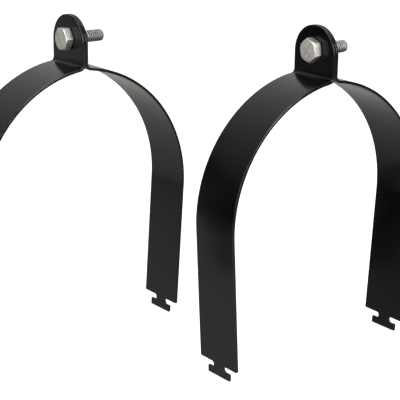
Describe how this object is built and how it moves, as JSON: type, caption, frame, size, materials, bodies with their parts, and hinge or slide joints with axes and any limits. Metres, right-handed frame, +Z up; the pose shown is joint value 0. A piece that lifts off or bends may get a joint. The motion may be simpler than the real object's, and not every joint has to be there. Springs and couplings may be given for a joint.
{
  "type": "strap clamp pair",
  "caption": "Bolted two-piece black strap clamps, each a downward-open hoop of flat steel with T-shaped tabs at its feet that lock into a slotted base.",
  "frame": {"origin": "centre of the bounding box of both clamps, on the plane that their tabs stand on", "axes": "+X from the left strap to the right strap, along the bolts from head to tip; +Y along the tube that the hoops hold, from the front clamp to the rear one; +Z up towards the ears"},
  "size_m": [0.2072, 0.1226, 0.1711],
  "materials": {
    "strap_paint": "semi-gloss black powder coat on flat steel",
    "bolt_steel": "satin, slightly mottled stainless steel",
    "nut_steel": "satin stainless steel"
  },
  "bodies": {
    "front_left_half": {"front_left_strap": "strap_paint"},
    "front_right_half": {"front_right_strap": "strap_paint"},
    "front_bolt": {"front_hex_bolt": "bolt_steel"},
    "front_nut": {"front_hex_nut": "nut_steel"},
    "rear_left_half": {"rear_left_strap": "strap_paint"},
    "rear_right_half": {"rear_right_strap": "strap_paint"},
    "rear_bolt": {"rear_hex_bolt": "bolt_steel"},
    "rear_nut": {"rear_hex_nut": "nut_steel"}
  },
  "joints": [
    {"name": "front_bolt_turn", "type": "hinge", "parent": "front_left_half", "child": "front_bolt", "pos_m": [0.04155, -0.0468, 0.15893], "axis": [-1, 0, 0], "range_deg": [0, 3240]},
    {"name": "front_nut_travel", "type": "slide", "parent": "front_left_half", "child": "front_nut", "axis": [1, 0, 0], "range_m": [0, 0.01143]},
    {"name": "front_strap_swing", "type": "hinge", "parent": "front_nut", "child": "front_right_half", "pos_m": [0.04155, -0.0468, 0.15893], "axis": [1, 0, 0], "continuous": true},
    {"name": "clamp_spacing", "type": "slide", "parent": "front_left_half", "child": "rear_left_half", "axis": [0, 1, 0], "range_m": [0, 0.1]},
    {"name": "rear_bolt_turn", "type": "hinge", "parent": "rear_left_half", "child": "rear_bolt", "pos_m": [-0.04155, 0.0468, 0.15893], "axis": [-1, 0, 0], "range_deg": [0, 3240]},
    {"name": "rear_nut_travel", "type": "slide", "parent": "rear_left_half", "child": "rear_nut", "axis": [1, 0, 0], "range_m": [0, 0.01143]},
    {"name": "rear_strap_swing", "type": "hinge", "parent": "rear_nut", "child": "rear_right_half", "pos_m": [-0.04155, 0.0468, 0.15893], "axis": [1, 0, 0], "range_deg": [-20, 180]}
  ],
  "couplings": [
    {"joint": "front_bolt_turn", "follows": "front_nut_travel", "rad_per_m": 4947.3},
    {"joint": "rear_bolt_turn", "follows": "rear_nut_travel", "rad_per_m": 4947.3}
  ]
}
